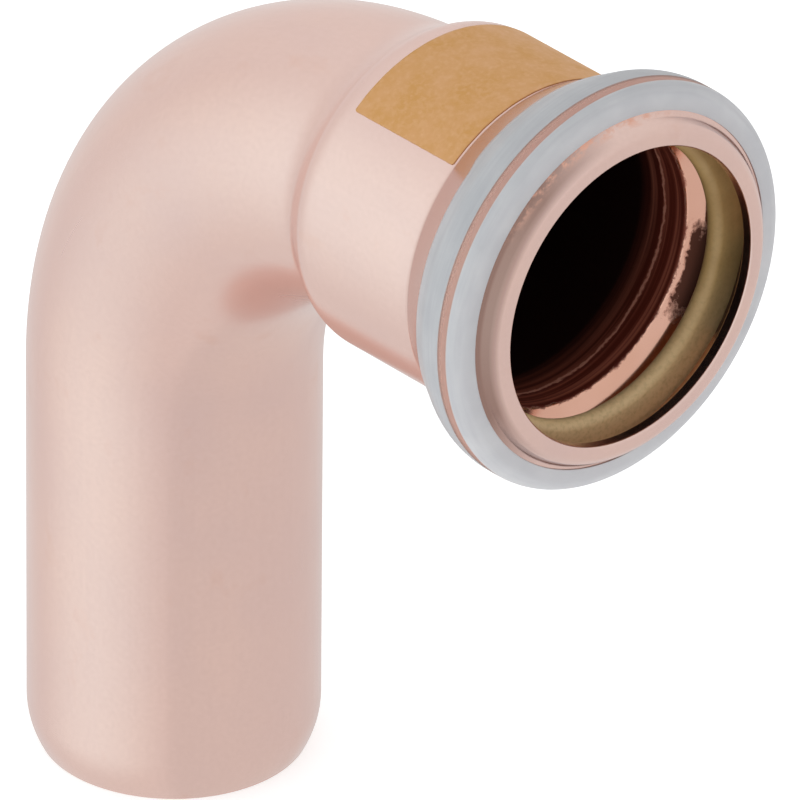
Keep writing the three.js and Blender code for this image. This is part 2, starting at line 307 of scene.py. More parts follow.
def tube_path_tree():
    """Where (along, radius, around) lies in the frame: up the plain end, round the bend
    and out along the socket. Around is 0 on the outside of the bend."""
    tree = bpy.data.node_groups.new("Tube path", "GeometryNodeTree")
    for label in ("Along", "Radius", "Around", "Plain End", "Bend Radius"):
        tree.interface.new_socket(label, in_out="INPUT", socket_type="NodeSocketFloat")
    tree.interface.new_socket("Corner", in_out="INPUT", socket_type="NodeSocketVector")
    tree.interface.new_socket("Place", in_out="OUTPUT", socket_type="NodeSocketVector")
    given = add_node(tree, "NodeGroupInput").outputs
    bend, plain_end = given["Bend Radius"], given["Plain End"]
    past_start = add_node(tree, MATHS, [given["Along"], plain_end], operation="SUBTRACT")
    turn = add_node(tree, MATHS, [past_start, bend], operation="DIVIDE")
    turn = add_node(tree, MATHS, [turn, 0.0], operation="MAXIMUM")
    turn = add_node(tree, MATHS, [turn, math.pi / 2], operation="MINIMUM")
    past_bend = add_node(tree, MATHS, [bend, math.pi / 2], operation="MULTIPLY")
    past_bend = add_node(tree, MATHS, [past_start, past_bend], operation="SUBTRACT")
    past_bend = add_node(tree, MATHS, [past_bend, 0.0], operation="MAXIMUM")
    up_leg = add_node(tree, MATHS, [past_start, 0.0], operation="MINIMUM")
    reach = add_node(tree, MATHS, [given["Around"]], operation="COSINE")
    reach = add_node(tree, MATHS, [given["Radius"], reach, bend], operation="MULTIPLY_ADD")
    x = add_node(tree, MATHS, [turn], operation="COSINE")
    x = add_node(tree, MATHS, [reach, x], operation="MULTIPLY")
    out_to = add_node(tree, MATHS, [bend, past_bend], operation="ADD")
    x = add_node(tree, MATHS, [out_to, x], operation="SUBTRACT")
    y = add_node(tree, MATHS, [given["Around"]], operation="SINE")
    y = add_node(tree, MATHS, [given["Radius"], y], operation="MULTIPLY")
    z = add_node(tree, MATHS, [turn], operation="SINE")
    z = add_node(tree, MATHS, [reach, z, up_leg], operation="MULTIPLY_ADD")
    z = add_node(tree, MATHS, [z, bend], operation="SUBTRACT")
    place = add_node(tree, "ShaderNodeCombineXYZ", [x, y, z])
    place = add_node(tree, VECTOR_MATHS, [place, given["Corner"]], operation="ADD")
    add_node(tree, "NodeGroupOutput", [place])
    return tree


tube_path = tube_path_tree()

PATH_INPUTS = (
    ("Plain End", "NodeSocketFloat"),
    ("Bend Radius", "NodeSocketFloat"),
    ("Corner", "NodeSocketVector"),
)


def laid_on_path(tree, given, along, radius, around):
    """The place in the frame of a point of a piece, by the tube path."""
    return add_node(
        tree,
        "GeometryNodeGroup",
        {
            "Along": along,
            "Radius": radius,
            "Around": around,
            "Plain End": given["Plain End"],
            "Bend Radius": given["Bend Radius"],
            "Corner": given["Corner"],
        },
        node_tree=tube_path,
    ).outputs["Place"]


def straight_place(tree, along, radius, around):
    """The same point before bending, which the materials' patterns follow."""
    over = add_node(tree, MATHS, [around], operation="COSINE")
    over = add_node(tree, MATHS, [radius, over], operation="MULTIPLY")
    beside = add_node(tree, MATHS, [around], operation="SINE")
    beside = add_node(tree, MATHS, [radius, beside], operation="MULTIPLY")
    return add_node(tree, "ShaderNodeCombineXYZ", [along, over, beside])


def finished(tree, geometry, material, output, inside=None, inside_material=None):
    """Smooth shading, real geometry and the material, at a tree's end."""
    smooth = add_node(tree, "GeometryNodeSetShadeSmooth", {"Geometry": geometry})
    real = add_node(
        tree, "GeometryNodeRealizeInstances", {"Geometry": smooth.outputs["Geometry"]}
    )
    painted = add_node(
        tree,
        "GeometryNodeSetMaterial",
        {"Geometry": real.outputs["Geometry"], "Material": material},
    )
    if inside is not None:
        painted = add_node(
            tree,
            "GeometryNodeSetMaterial",
            {
                "Geometry": painted.outputs["Geometry"],
                "Selection": inside,
                "Material": inside_material,
            },
        )
    tree.links.new(painted.outputs["Geometry"], output.inputs["Geometry"])


def kept_on_points(tree, geometry, kind, label, value):
    """Geometry that remembers a value at each point, and that value for later nodes."""
    kept = add_node(tree, "GeometryNodeCaptureAttribute", domain="POINT")
    kept.capture_items.new(kind, label)
    tree.links.new(geometry, kept.inputs["Geometry"])
    tree.links.new(value, kept.inputs[label])
    return kept.outputs["Geometry"], kept.outputs[label]


def swept_ring(tree, given):
    """The input section carried round a ring: its skin, the section's place at each point
    and the angle round the tube. The skin closes on itself both ways."""
    section = add_node(tree, "GeometryNodeMeshToCurve", {"Mesh": given["Geometry"]})
    place = add_node(tree, "GeometryNodeInputPosition").outputs[0]
    section, place = kept_on_points(
        tree, section.outputs["Curve"], "VECTOR", "Section Place", place
    )
    rail = add_node(
        tree, "GeometryNodeCurvePrimitiveCircle", {"Resolution": given["Facets"], "Radius": 1.0}
    )
    index = add_node(tree, "GeometryNodeInputIndex").outputs[0]
    step = add_node(tree, MATHS, [2 * math.pi, given["Facets"]], operation="DIVIDE")
    angle = add_node(tree, MATHS, [index, step], operation="MULTIPLY")
    rail, around = kept_on_points(
        tree, rail.outputs["Curve"], "FLOAT", "Around", angle.outputs[0]
    )
    skin = add_node(tree, "GeometryNodeCurveToMesh", {"Curve": rail, "Profile Curve": section})
    return skin.outputs["Mesh"], place, around


def placed(tree, given, skin, along, radius, around):
    """The skin with its straight place stored and then laid on the tube's path."""
    named = add_node(
        tree,
        "GeometryNodeStoreNamedAttribute",
        {
            "Geometry": skin,
            "Name": "straight",
            "Value": straight_place(tree, along, radius, around),
        },
        data_type="FLOAT_VECTOR",
        domain="POINT",
    )
    return add_node(
        tree,
        "GeometryNodeSetPosition",
        {
            "Geometry": named.outputs["Geometry"],
            "Position": laid_on_path(tree, given, along, radius, around),
        },
    ).outputs["Geometry"]


def turned_tree():
    """A closed section turned round the tube's centreline and carried along its path."""
    tree, start, end = new_tree(
        "Turned section",
        (
            ("Facets", "NodeSocketInt"),
            *PATH_INPUTS,
            ("Material", "NodeSocketMaterial"),
            ("Inside Material", "NodeSocketMaterial"),
        ),
    )
    given = start.outputs
    skin, place, around = swept_ring(tree, given)
    along, radius, inside = add_node(tree, SPLIT, [place]).outputs
    inside = add_node(tree, MATHS, [inside, 0.5], operation="GREATER_THAN")
    skin = placed(tree, given, skin, along, radius, around)
    finished(tree, skin, given["Material"], end, inside, given["Inside Material"])
    return tree


def film_tree():
    """A film wrapped on the bead. Its section gives how far each point lies along the
    guide, the bead's outside, and how high above it. The rear edge is uneven, and steps
    forward over part of the turn where the shrinking film crept."""
    tree, start, end = new_tree(
        "Wrapped film",
        (
            ("Guide", "NodeSocketObject"),
            ("Facets", "NodeSocketInt"),
            ("Rear Edge", "NodeSocketFloat"),
            ("Edge Waviness", "NodeSocketFloat"),
            ("Notch Depth", "NodeSocketFloat"),
            ("Notch Angle", "NodeSocketFloat"),
            *PATH_INPUTS,
            ("Material", "NodeSocketMaterial"),
        ),
    )
    given = start.outputs
    skin, place, around = swept_ring(tree, given)
    across, height, _ = add_node(tree, SPLIT, [place]).outputs
    ring_x = add_node(tree, MATHS, [around], operation="COSINE")
    ring_y = add_node(tree, MATHS, [around], operation="SINE")
    ring = add_node(tree, "ShaderNodeCombineXYZ", [ring_x, ring_y])
    wave = add_node(
        tree,
        "ShaderNodeTexNoise",
        {"Vector": ring, "Scale": 5.0, "Detail": 4.0, "Roughness": 0.65},
    )
    wave = add_node(tree, MATHS, [wave, 0.5], operation="SUBTRACT")
    wave = add_node(tree, MATHS, [wave, given["Edge Waviness"]], operation="MULTIPLY")
    # The step holds from the notch's angle down the near side to a quarter turn below.
    turned_by = add_node(tree, MATHS, [around, given["Notch Angle"]], operation="SUBTRACT")
    turned_by = add_node(tree, MATHS, [turned_by, math.pi, -math.pi], operation="WRAP")
    step_in = add_node(tree, RANGE, [turned_by, 0.02, -0.05])
    step_out = add_node(tree, RANGE, [turned_by, -1.6, -1.1])
    step = add_node(tree, MATHS, [step_in, step_out], operation="MULTIPLY")
    step = add_node(tree, MATHS, [step, given["Notch Depth"]], operation="MULTIPLY")
    from_rear = add_node(tree, MATHS, [across, given["Rear Edge"]], operation="SUBTRACT")
    held = add_node(tree, RANGE, [from_rear, 0.0, 1.2 * MM, 1.0, 0.0])
    shift = add_node(tree, MATHS, [wave, step], operation="ADD")
    shift = add_node(tree, MATHS, [shift, held], operation="MULTIPLY")
    moved = add_node(tree, MATHS, [across, shift], operation="ADD")
    info = add_node(tree, "GeometryNodeObjectInfo", {"Object": given["Guide"]})
    guide = add_node(tree, "GeometryNodeMeshToCurve", {"Mesh": info.outputs["Geometry"]})
    sample = add_node(
        tree,
        "GeometryNodeSampleCurve",
        {"Curves": guide.outputs["Curve"], "Length": moved},
        mode="LENGTH",
        use_all_curves=True,
    )
    under = add_node(tree, SPLIT, [sample.outputs["Position"]]).outputs
    slope = add_node(tree, SPLIT, [sample.outputs["Tangent"]]).outputs
    along = add_node(tree, MATHS, [slope[1], height], operation="MULTIPLY")
    along = add_node(tree, MATHS, [under[0], along], operation="SUBTRACT")
    radius = add_node(tree, MATHS, [slope[0], height, under[1]], operation="MULTIPLY_ADD")
    named = add_node(
        tree,
        "GeometryNodeStoreNamedAttribute",
        {"Geometry": skin, "Name": "across", "Value": across},
        data_type="FLOAT",
        domain="POINT",
    )
    skin = placed(tree, given, named.outputs["Geometry"], along, radius, around)
    finished(tree, skin, given["Material"], end)
    return tree


def marking_tree():
    """A printed rectangle on the socket: a fine grid with rounded corners and uneven
    edges, wrapped on the socket, given the ink's thickness and closed underneath."""
    tree, start, end = new_tree(
        "Printed marking",
        (
            ("Rear", "NodeSocketFloat"),
            ("Front", "NodeSocketFloat"),
            ("Half Angle", "NodeSocketFloat"),
            ("Under Radius", "NodeSocketFloat"),
            ("Thickness", "NodeSocketFloat"),
            ("Corner Round", "NodeSocketFloat"),
            ("Edge Waviness", "NodeSocketFloat"),
            *PATH_INPUTS,
            ("Material", "NodeSocketMaterial"),
        ),
    )
    given = start.outputs
    grid = add_node(
        tree,
        "GeometryNodeMeshGrid",
        {"Size X": 2.0, "Size Y": 2.0, "Vertices X": 81, "Vertices Y": 141},
    )
    spot = add_node(tree, "GeometryNodeInputPosition").outputs[0]
    skin, spot = kept_on_points(tree, grid.outputs["Mesh"], "VECTOR", "Spot", spot)
    lengthwise, sideways, _ = add_node(tree, SPLIT, [spot]).outputs
    half_length = add_node(tree, MATHS, [given["Front"], given["Rear"]], operation="SUBTRACT")
    half_length = add_node(tree, MATHS, [half_length, 0.5], operation="MULTIPLY")
    middle = add_node(tree, MATHS, [given["Rear"], half_length], operation="ADD")
    half_width = add_node(
        tree, MATHS, [given["Half Angle"], given["Under Radius"]], operation="MULTIPLY"
    )
    # Near the sides the ends draw in along a quarter circle of the corner's round.
    from_middle = add_node(tree, MATHS, [sideways], operation="ABSOLUTE")
    from_middle = add_node(tree, MATHS, [from_middle, half_width], operation="MULTIPLY")
    round_from = add_node(tree, MATHS, [half_width, given["Corner Round"]], operation="SUBTRACT")
    over = add_node(tree, MATHS, [from_middle, round_from], operation="SUBTRACT")
    over = add_node(tree, MATHS, [over, 0.0], operation="MAXIMUM")
    over = add_node(tree, MATHS, [over, given["Corner Round"]], operation="DIVIDE")
    rise = add_node(tree, MATHS, [over, over], operation="MULTIPLY")
    rise = add_node(tree, MATHS, [1.0, rise], operation="SUBTRACT")
    rise = add_node(tree, MATHS, [rise], operation="SQRT")
    drawn_in = add_node(tree, MATHS, [1.0, rise], operation="SUBTRACT")
    drawn_in = add_node(tree, MATHS, [drawn_in, given["Corner Round"]], operation="MULTIPLY")
    reach = add_node(tree, MATHS, [half_length, drawn_in], operation="SUBTRACT")
    edges = []
    for share in (lengthwise, sideways):
        ripple = add_node(
            tree,
            "ShaderNodeTexNoise",
            {"Vector": spot, "Scale": 9.0, "Detail": 4.0, "Roughness": 0.6},
        )
        ripple = add_node(tree, MATHS, [ripple, 0.5], operation="SUBTRACT")
        ripple = add_node(tree, MATHS, [ripple, given["Edge Waviness"]], operation="MULTIPLY")
        grip = add_node(tree, MATHS, [share], operation="ABSOLUTE")
        grip = add_node(tree, MATHS, [grip, 8.0], operation="POWER")
        grip = add_node(tree, MATHS, [grip, share], operation="MULTIPLY")
        edges.append(add_node(tree, MATHS, [ripple, grip], operation="MULTIPLY"))
    along = add_node(tree, MATHS, [lengthwise, reach, middle], operation="MULTIPLY_ADD")
    along = add_node(tree, MATHS, [along, edges[0]], operation="ADD")
    around = add_node(tree, MATHS, [sideways, half_width, edges[1]], operation="MULTIPLY_ADD")
    around = add_node(tree, MATHS, [around, given["Under Radius"]], operation="DIVIDE")
    under = placed(tree, given, skin, along, given["Under Radius"], around)
    raised = add_node(
        tree, "GeometryNodeExtrudeMesh", {"Mesh": under, "Offset Scale": 0.0, "Individual": False}
    )
    over_radius = add_node(
        tree, MATHS, [given["Under Radius"], given["Thickness"]], operation="ADD"
    )
    lifted = add_node(
        tree,
        "GeometryNodeSetPosition",
        {
            "Geometry": raised.outputs["Mesh"],
            "Selection": raised.outputs["Top"],
            "Position": laid_on_path(tree, given, along, over_radius, around),
        },
    )
    floor_side = add_node(tree, "GeometryNodeFlipFaces", {"Mesh": under})
    joined = add_node(tree, "GeometryNodeJoinGeometry")
    tree.links.new(lifted.outputs["Geometry"], joined.inputs["Geometry"])
    tree.links.new(floor_side.outputs["Mesh"], joined.inputs["Geometry"])
    closed = add_node(
        tree,
        "GeometryNodeMergeByDistance",
        {"Geometry": joined.outputs["Geometry"], "Distance": 0.001 * MM},
    )
    finished(tree, closed.outputs["Geometry"], given["Material"], end)
    return tree


def built(name, source, tree, values):
    """Runs a tree on a section and keeps the result as a plain mesh piece."""
    modifier = source.modifiers.new(name, "NODES")
    modifier.node_group = tree
    keys = {
        item.name: item.identifier
        for item in tree.interface.items_tree
        if item.in_out == "INPUT"
    }
    for label, value in values.items():
        modifier[keys[label]] = value
    evaluated = source.evaluated_get(bpy.context.evaluated_depsgraph_get())
    mesh = bpy.data.meshes.new_from_object(evaluated)
    mesh.name = name
    piece = bpy.data.objects.new(name, mesh)
    bpy.context.scene.collection.objects.link(piece)
    bpy.data.objects.remove(source)
    return piece


path_sizes = {
    "Plain End": leg_length * MM,
    "Bend Radius": BEND_RADIUS * MM,
    "Corner": tuple(corner),
}

# ---- materials -------------------------------------------------------------------------
def new_material(name):
    """An empty material and its node tree."""
    made = bpy.data.materials.new(name)
    made.use_nodes = True
    made.node_tree.nodes.clear()
    return made, made.node_tree


def noise(tree, coordinates, cell, detail=2.0, rough=0.5):
    """A noise pattern from 0 to 1, whose cells are that many millimetres along each axis."""
    scale = tuple(1 / (size * MM) for size in cell)
    stretched = add_node(tree, "ShaderNodeMapping", {"Vector": coordinates, "Scale": scale})
    return add_node(
        tree,
        "ShaderNodeTexNoise",
        {"Vector": stretched, "Scale": 1.0, "Detail": detail, "Roughness": rough},
    )


def off_axis(tree, place):
    """The part of a straight place that is square to the tube's centreline."""
    return add_node(tree, VECTOR_MATHS, [place, (0.0, 1.0, 1.0)], operation="MULTIPLY")


def round_axis(degrees):
    """The direction that many degrees round the tube from its top."""
    return 0.0, math.cos(math.radians(degrees)), math.sin(math.radians(degrees))


def straight_coordinates(tree):
    """Where a point lies on the straight tube, before the bend: the patterns follow it."""
    return add_node(tree, "ShaderNodeAttribute", attribute_name="straight").outputs["Vector"]


def drawn_copper():
    """Copper tube, drawn through a die, bent, annealed and pickled. The die leaves fine
    lines along the tube, the anneal a satin skin whose gloss changes in soft clouds, and
    handling leaves a few faint warm smudges."""
    made, tree = new_material("Drawn and pickled copper")
    place = straight_coordinates(tree)
    clouds = noise(tree, place, (14, 9, 9), detail=3.0)
    smudges = noise(tree, place, (5, 3.5, 3.5), detail=4.0, rough=0.6)
    # Die lines are about 0.05 mm wide, and drawn five times as wide to show.
    lines = noise(tree, place, (45, 0.28, 0.28), detail=2.0)
    grain = noise(tree, place, (0.35, 0.35, 0.35), detail=2.0)
    share = add_node(tree, RANGE, [clouds, 0.3, 0.7])
    skin = add_node(tree, BLEND, [share, "#F5D2C6", "#F0CFC6"], data_type="RGBA")
    warm = add_node(tree, RANGE, [smudges, 0.6, 0.8, 0.0, 0.5])
    skin = add_node(tree, BLEND, [warm, skin, "#EFC3B2"], data_type="RGBA")
    share = add_node(tree, RANGE, [grain, 0.3, 0.75, 0.0, 0.3])
    skin = add_node(tree, BLEND, [share, skin, "#EBC8BD"], data_type="RGBA")
    # Painted shade darkens the flank behind the film, and the crease at the lip's foot on the
    # near side.
    along, over, beside = add_node(tree, SPLIT, [place]).outputs
    from_axis = add_node(tree, VECTOR_MATHS, [off_axis(tree, place)], operation="LENGTH")
    on_flank = add_node(tree, RANGE, [along, *from_corner_range(BEAD_FOOT, 0.0, 0.25)])
    off_crown = add_node(tree, RANGE, [along, *from_corner_range(DULL_FLANK_END, 0.0, 1.0)])
    flank = add_node(tree, MATHS, [on_flank, off_crown], operation="SUBTRACT")
    flank = add_node(tree, MATHS, [flank, 0.8], operation="MULTIPLY")
    skin = add_node(tree, BLEND, [flank, skin, "#D3B3A9"], data_type="RGBA")
    at_foot = add_node(tree, RANGE, [along, *from_corner_range(BEAD_FACE, -0.3, 0.1)])
    low_on_foot = add_node(tree, RANGE, [from_axis, 12.75 * MM, 13.25 * MM])
    near_side = add_node(
        tree, VECTOR_MATHS, [place, round_axis(DULL_ANGLE)], operation="DOT_PRODUCT"
    )
    near_side = add_node(tree, RANGE, [near_side, 4.5 * MM, 10.5 * MM])
    # Painted shade in the crease at the lip's foot, on the near side only.
    dull = add_node(tree, MATHS, [at_foot, low_on_foot], operation="MULTIPLY")
    dull = add_node(tree, MATHS, [dull, near_side], operation="MULTIPLY")
    share = add_node(tree, MATHS, [dull, 0.9], operation="MULTIPLY")
    skin = add_node(tree, BLEND, [share, skin, "#9C7B70"], data_type="RGBA")
    # Orange flecks of heat stay on the lip's foot at the top.
    flecks = noise(tree, place, (0.6, 1.1, 1.1), detail=4.0, rough=0.7)
    flecks = add_node(tree, RANGE, [flecks, 0.45, 0.6])
    on_top = add_node(tree, RANGE, [over, 7.5 * MM, 11.0 * MM])
    flecks = add_node(tree, MATHS, [flecks, on_top], operation="MULTIPLY")
    flecks = add_node(tree, MATHS, [flecks, at_foot], operation="MULTIPLY")
    high_on_foot = add_node(tree, RANGE, [from_axis, 13.3 * MM, 13.6 * MM])
    flecks = add_node(tree, MATHS, [flecks, high_on_foot], operation="MULTIPLY")
    towards_near_side = add_node(tree, RANGE, [beside, 6.0 * MM, 1.0 * MM])
    flecks = add_node(tree, MATHS, [flecks, towards_near_side], operation="MULTIPLY")
    skin = add_node(tree, BLEND, [flecks, skin, "#F0B8A2"], data_type="RGBA")
    gloss = add_node(tree, RANGE, [clouds, 0.3, 0.7, 0.17, 0.24])
    line_gloss = add_node(tree, RANGE, [lines, 0.3, 0.7, 0.0, 0.04])
    gloss = add_node(tree, MATHS, [gloss, line_gloss], operation="ADD")
    surface = add_node(
        tree, "ShaderNodeBump", {"Height": lines, "Strength": 1.0, "Distance": 0.0012 * MM}
    )
    surface = add_node(
        tree,
        "ShaderNodeBump",
        {"Height": grain, "Strength": 1.0, "Distance": 0.0009 * MM, "Normal": surface},
    )
    shader = add_node(
        tree,
        "ShaderNodeBsdfPrincipled",
        {"Base Color": skin, "Metallic": 1.0, "Roughness": gloss, "Normal": surface},
    )
    add_node(tree, "ShaderNodeOutputMaterial", {"Surface": shader})
    return made


def burnished_copper():
    """The inside of the socket and the tube. The mandrel that flared the groove left its
    rear flank burnished like a mirror. Behind it the anneal's oxide stays on the bore, dark
    and dull, with turned rings, and one smoky stain reaches forward over the flank. A bright
    ring on the oxide is a painted highlight, and painted shade darkens the bore deeper in."""
    made, tree = new_material("Mandrel-burnished copper, oxidised behind")
    place = straight_coordinates(tree)
    along = add_node(tree, SPLIT, [place]).outputs[0]
    waves = noise(tree, place, (1.6, 1.6, 1.6), detail=3.0)
    clouds = noise(tree, place, (6, 6, 6), detail=3.0)
    ragged = noise(tree, place, (0.5, 0.9, 0.9), detail=4.0, rough=0.7)
    rings = noise(tree, place, (0.5, 40, 40), detail=3.0, rough=0.6)
    # Turned marks are about 0.03 mm apart, and drawn coarser to show.
    marks = noise(tree, place, (0.22, 6, 6), detail=2.0)
    shifted = add_node(tree, RANGE, [ragged, 0.3, 0.7, -0.15 * MM, 0.15 * MM])
    shifted = add_node(tree, MATHS, [along, shifted], operation="ADD")
    edge_at = (along_at_corner + OXIDE_EDGE) * MM
    behind = add_node(tree, RANGE, [shifted, edge_at, edge_at - 0.15 * MM])
    direction = add_node(tree, VECTOR_MATHS, [off_axis(tree, place)], operation="NORMALIZE")
    stained = add_node(
        tree, VECTOR_MATHS, [direction, round_axis(STAIN_ANGLE)], operation="DOT_PRODUCT"
    )
    uneven = add_node(tree, RANGE, [ragged, 0.3, 0.7, -0.02, 0.02])
    stained = add_node(tree, MATHS, [stained, uneven], operation="ADD")
    stained = add_node(tree, RANGE, [stained, 0.942, 0.972])
    rim = add_node(tree, RANGE, [shifted, edge_at + 0.15 * MM, edge_at + 0.3 * MM])
    stained = add_node(tree, MATHS, [stained, rim], operation="MULTIPLY")
    oxide = add_node(tree, MATHS, [stained, 0.93], operation="MULTIPLY")
    oxide = add_node(tree, MATHS, [behind, oxide], operation="MAXIMUM")
    share = add_node(tree, RANGE, [rings, 0.45, 0.7])
    scale = add_node(tree, BLEND, [share, "#66261A", "#C4745D"], data_type="RGBA")
    # Painted highlight: a bright ring laid on the dark oxide.
    off_ring = add_node(
        tree, MATHS, [shifted, (along_at_corner + TURNED_RING_AT) * MM], operation="SUBTRACT"
    )
    off_ring = add_node(tree, MATHS, [off_ring], operation="ABSOLUTE")
    bright_ring = add_node(tree, RANGE, [off_ring, 0.16 * MM, 0.06 * MM, 0.0, 0.8])
    scale = add_node(tree, BLEND, [bright_ring, scale, "#E8A48E"], data_type="RGBA")
    # Painted shade: further into the bore the colour darkens towards near black.
    depth = add_node(tree, RANGE, [along, edge_at - 2.2 * MM, edge_at - 5.0 * MM])
    scale = add_node(tree, BLEND, [depth, scale, "#1C0705"], data_type="RGBA")
    scale = add_node(tree, BLEND, [stained, scale, "#40170C"], data_type="RGBA")
    share = add_node(tree, RANGE, [clouds, 0.3, 0.7])
    skin = add_node(tree, BLEND, [share, "#EFBBA6", "#E7B098"], data_type="RGBA")
    skin = add_node(tree, BLEND, [oxide, skin, scale], data_type="RGBA")
    gloss = add_node(tree, RANGE, [clouds, 0.3, 0.7, 0.08, 0.14])
    oxide_gloss = add_node(tree, MATHS, [oxide, 0.35], operation="MULTIPLY")
    gloss = add_node(tree, MATHS, [gloss, oxide_gloss], operation="ADD")
    bare = add_node(tree, RANGE, [behind, 0.0, 1.0, 1.0, 0.25])
    surface = add_node(
        tree, "ShaderNodeBump", {"Height": waves, "Strength": 1.0, "Distance": 0.003 * MM}
    )
    surface = add_node(
        tree,
        "ShaderNodeBump",
        {"Height": marks, "Strength": 1.0, "Distance": 0.0008 * MM, "Normal": surface},
    )
    shader = add_node(
        tree,
        "ShaderNodeBsdfPrincipled",
        {"Base Color": skin, "Metallic": bare, "Roughness": gloss, "Normal": surface},
    )
    add_node(tree, "ShaderNodeOutputMaterial", {"Surface": shader})
    return made


def moulded_rubber():
    """Compression-moulded olive rubber with a thin grease: soft and dull, with a wet sheen
    where the grease has pooled and a fine mould grain. Painted light makes its lower part
    lighter."""
    made, tree = new_material("Moulded rubber, greased")
    place = straight_coordinates(tree)
    grain = noise(tree, place, (0.3, 0.3, 0.3), detail=3.0)
    blooms = noise(tree, place, (3, 3, 3), detail=3.0)
    share = add_node(tree, RANGE, [blooms, 0.3, 0.7])
    skin = add_node(tree, BLEND, [share, "#B4935F", "#A68451"], data_type="RGBA")
    over = add_node(tree, SPLIT, [place]).outputs[1]
    # Painted light: the ring is painted lighter towards its lower part.
    settled = add_node(tree, RANGE, [over, -3.0 * MM, -11.0 * MM])
    skin = add_node(tree, BLEND, [settled, skin, "#DCBC8C"], data_type="RGBA")
    share = add_node(tree, RANGE, [grain, 0.45, 0.8, 0.0, 0.4])
    skin = add_node(tree, BLEND, [share, skin, "#967C4B"], data_type="RGBA")
    gloss = add_node(tree, RANGE, [blooms, 0.3, 0.7, 0.5, 0.64])
    surface = add_node(
        tree, "ShaderNodeBump", {"Height": grain, "Strength": 1.0, "Distance": 0.006 * MM}
    )
    shader = add_node(
        tree,
        "ShaderNodeBsdfPrincipled",
        {
            "Base Color": skin,
            "Metallic": 0.0,
            "IOR": 1.52,
            "Roughness": gloss,
            "Normal": surface,
        },
    )
    add_node(tree, "ShaderNodeOutputMaterial", {"Surface": shader})
    return made


def shrink_film():
    """Extruded and heat-shrunk polyolefin film, filled white: slightly see-through, with
    fine shrink wrinkles round the bead. The tear line is clear, so copper shows, and the
    rear edge thins out."""
    made, tree = new_material("Heat-shrunk polyolefin film")
    place = straight_coordinates(tree)
    across = add_node(tree, "ShaderNodeAttribute", attribute_name="across").outputs["Fac"]
    clouds = noise(tree, place, (3, 3, 3), detail=3.0)
    wrinkles = noise(tree, place, (0.5, 2.5, 2.5), detail=2.0)
    streaks = noise(tree, place, (0.25, 5, 5), detail=2.0)
    share = add_node(tree, RANGE, [clouds, 0.3, 0.7])
    skin = add_node(tree, BLEND, [share, "#CCCACC", "#C3C2C5"], data_type="RGBA")
    share = add_node(tree, RANGE, [streaks, 0.4, 0.7, 0.0, 0.35])
    skin = add_node(tree, BLEND, [share, skin, "#B5B2B8"], data_type="RGBA")
    gloss = add_node(tree, RANGE, [clouds, 0.3, 0.7, 0.32, 0.44])
    behind = add_node(tree, RANGE, [across, film_line[0] * MM, (film_line[0] + 0.07) * MM])
    ahead = add_node(tree, RANGE, [across, film_line[1] * MM, (film_line[1] - 0.07) * MM])
    clear = add_node(tree, MATHS, [behind, ahead], operation="MULTIPLY")
    skin = add_node(tree, BLEND, [clear, skin, "#D8A999"], data_type="RGBA")
    feather = add_node(tree, RANGE, [across, film_from * MM, (film_from + 0.5) * MM, 0.35, 1.0])
    wide_band = add_node(tree, RANGE, [across, film_line[0] * MM, film_line[1] * MM, 0.84, 0.95])
    solid = add_node(tree, RANGE, [clear, 0.0, 1.0, 1.0, 0.45])
    solid = add_node(tree, MATHS, [wide_band, solid], operation="MULTIPLY")
    solid = add_node(tree, MATHS, [solid, feather], operation="MULTIPLY")
    surface = add_node(
        tree, "ShaderNodeBump", {"Height": wrinkles, "Strength": 1.0, "Distance": 0.008 * MM}
    )
    shader = add_node(
        tree,
        "ShaderNodeBsdfPrincipled",
        {
            "Base Color": skin,
            "Metallic": 0.0,
            "IOR": 1.49,
            "Roughness": gloss,
            "Alpha": solid,
            "Normal": surface,
        },
    )
    add_node(tree, "ShaderNodeOutputMaterial", {"Surface": shader})
    return made


def pad_printed_ink():
    """Ochre marking ink, pad-printed and air-dried: matt, a little uneven where the pad
    lifted, with a fine speckle of copper through its thinnest spots."""
    made, tree = new_material("Pad-printed ochre ink")
    place = straight_coordinates(tree)
    clouds = noise(tree, place, (2.2, 2.2, 2.2), detail=4.0, rough=0.6)
    speckle = noise(tree, place, (0.4, 0.4, 0.4), detail=3.0, rough=0.6)
    share = add_node(tree, RANGE, [clouds, 0.35, 0.65])
    skin = add_node(tree, BLEND, [share, "#DAA067", "#D39852"], data_type="RGBA")
    share = add_node(tree, RANGE, [speckle, 0.45, 0.75, 0.0, 0.5])
    skin = add_node(tree, BLEND, [share, skin, "#E4AF81"], data_type="RGBA")
    gloss = add_node(tree, RANGE, [clouds, 0.3, 0.7, 0.5, 0.62])
    surface = add_node(
        tree, "ShaderNodeBump", {"Height": speckle, "Strength": 1.0, "Distance": 0.004 * MM}
    )
    shader = add_node(
        tree,
        "ShaderNodeBsdfPrincipled",
        {
            "Base Color": skin,
            "Metallic": 0.0,
            "IOR": 1.5,
            "Roughness": gloss,
            "Normal": surface,
        },
    )
    add_node(tree, "ShaderNodeOutputMaterial", {"Surface": shader})
    return made


# ---- the film's guide ------------------------------------------------------------------
GUIDE_LEAD = 4.0  # how far the guide starts behind the bead
GUIDE_END_RADIUS = 13.0

guide_points = [
    point
    for point in rounded(
        [
            (along_at_corner + BEAD_FOOT - GUIDE_LEAD, SOCKET_RADIUS, 0),
            *bead_outside,
            *from_corner([(*LIP_CREASE, 0.2), (LIP_CREASE[0], 0.0, 0)]),
        ],
        spacing=0.15,
        turn_step=math.radians(3),
    )
    if point.y >= LIP_CREASE[1] - 0.5
]
last_point = max(i for i, point in enumerate(guide_points) if point.y > GUIDE_END_RADIUS)
guide_points = guide_points[: last_point + 1]


def length_to(test):
    """How far along the guide the first point that passes the test lies."""
    length = 0.0
    for before, point in zip(guide_points, guide_points[1:]):
        if test(before):
            return length
        length += (point - before).length
    return length


